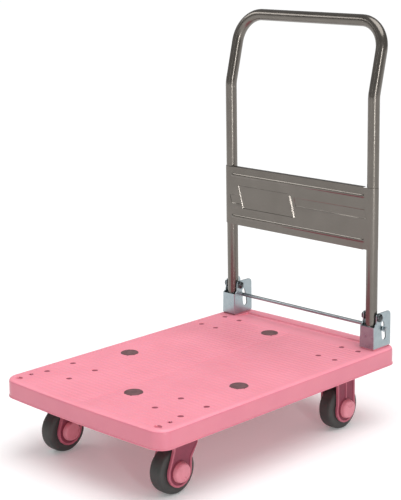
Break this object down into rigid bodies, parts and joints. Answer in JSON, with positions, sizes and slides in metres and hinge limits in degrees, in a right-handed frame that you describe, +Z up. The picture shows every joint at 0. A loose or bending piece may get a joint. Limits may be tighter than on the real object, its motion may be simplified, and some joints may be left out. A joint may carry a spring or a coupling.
{
  "type": "folding platform cart",
  "caption": "Hand cart with a moulded plastic deck, a fold-down tubular handle with a cross panel and foot lock rod, swivel casters in front and fixed casters behind.",
  "frame": {"origin": "on the floor below the middle of the deck", "axes": "+X towards the handle end, +Y towards the right side as the pusher faces the deck, +Z up"},
  "size_m": [0.72, 0.468, 0.8751],
  "materials": {
    "deck_plastic": "moulded, satin",
    "anti_slip_rubber": "matt",
    "grey_paint": "satin metallic",
    "zinc_plate": "bright zinc",
    "bright_steel": "satin",
    "spacer_nylon": "satin",
    "tyre_rubber": "satin",
    "fork_plastic": "moulded, satin",
    "wheel_plastic": "moulded, satin"
  },
  "bodies": {
    "base": {"bracket_bolt_left_front": "bright_steel", "bracket_bolt_left_rear": "bright_steel", "bracket_bolt_right_front": "bright_steel", "bracket_bolt_right_rear": "bright_steel", "bracket_left": "zinc_plate", "bracket_right": "zinc_plate", "deck": "deck_plastic", "deck_pad_front": "anti_slip_rubber", "deck_pad_left": "anti_slip_rubber", "deck_pad_rear": "anti_slip_rubber", "deck_pad_right": "anti_slip_rubber", "fixed_left_axle": "bright_steel", "fixed_left_cap_left": "wheel_plastic", "fixed_left_cap_right": "wheel_plastic", "fixed_left_fork": "fork_plastic", "fixed_right_axle": "bright_steel", "fixed_right_cap_left": "wheel_plastic", "fixed_right_cap_right": "wheel_plastic", "fixed_right_fork": "fork_plastic", "pivot_bolt_left": "bright_steel", "pivot_bolt_right": "bright_steel", "pivot_nut_left": "bright_steel", "pivot_nut_right": "bright_steel", "pivot_spacer_left_inner": "spacer_nylon", "pivot_spacer_left_outer": "spacer_nylon", "pivot_spacer_right_inner": "spacer_nylon", "pivot_spacer_right_outer": "spacer_nylon", "rod_spring_left": "bright_steel", "rod_spring_right": "bright_steel", "swivel_left_kingpin": "bright_steel", "swivel_left_plate": "zinc_plate", "swivel_left_race": "zinc_plate", "swivel_right_kingpin": "bright_steel", "swivel_right_plate": "zinc_plate", "swivel_right_race": "zinc_plate"},
    "handle": {"handle_tube": "grey_paint", "handle_panel": "grey_paint"},
    "lock_bar": {"lock_rod": "zinc_plate", "rod_clip_left": "zinc_plate", "rod_clip_right": "zinc_plate"},
    "caster_left": {"swivel_left_fork": "fork_plastic", "swivel_left_axle": "bright_steel", "swivel_left_cap_left": "wheel_plastic", "swivel_left_cap_right": "wheel_plastic"},
    "front_wheel_left": {"swivel_left_core": "wheel_plastic", "swivel_left_tyre": "tyre_rubber"},
    "rear_wheel_left": {"fixed_left_core": "wheel_plastic", "fixed_left_tyre": "tyre_rubber"},
    "caster_right": {"swivel_right_fork": "fork_plastic", "swivel_right_axle": "bright_steel", "swivel_right_cap_left": "wheel_plastic", "swivel_right_cap_right": "wheel_plastic"},
    "front_wheel_right": {"swivel_right_core": "wheel_plastic", "swivel_right_tyre": "tyre_rubber"},
    "rear_wheel_right": {"fixed_right_core": "wheel_plastic", "fixed_right_tyre": "tyre_rubber"}
  },
  "joints": [
    {"name": "handle_fold", "type": "hinge", "parent": "base", "child": "handle", "pos_m": [0.30402, 0, 0.236], "axis": [0, -1, 0], "range_deg": [0, 90]},
    {"name": "lock_press", "type": "slide", "parent": "base", "child": "lock_bar", "axis": [0.1444, 0, -0.9895], "range_m": [0, 0.02], "stiffness_N_per_m": 400, "springref_m": -0.02, "deforming": ["rod_spring_left", "rod_spring_right"]},
    {"name": "swivel_turn_left", "type": "hinge", "parent": "base", "child": "caster_left", "pos_m": [-0.2337, -0.1619, 0.1335], "axis": [0, 0, 1], "continuous": true},
    {"name": "front_wheel_spin_left", "type": "hinge", "parent": "caster_left", "child": "front_wheel_left", "pos_m": [-0.2607, -0.1619, 0.0475], "axis": [0, 1, 0], "continuous": true},
    {"name": "rear_wheel_spin_left", "type": "hinge", "parent": "base", "child": "rear_wheel_left", "pos_m": [0.2255, -0.1742, 0.0475], "axis": [0, 1, 0], "continuous": true},
    {"name": "swivel_turn_right", "type": "hinge", "parent": "base", "child": "caster_right", "pos_m": [-0.2337, 0.1619, 0.1335], "axis": [0, 0, 1], "continuous": true},
    {"name": "front_wheel_spin_right", "type": "hinge", "parent": "caster_right", "child": "front_wheel_right", "pos_m": [-0.2607, 0.1619, 0.0475], "axis": [0, 1, 0], "continuous": true},
    {"name": "rear_wheel_spin_right", "type": "hinge", "parent": "base", "child": "rear_wheel_right", "pos_m": [0.2255, 0.1742, 0.0475], "axis": [0, 1, 0], "continuous": true}
  ]
}
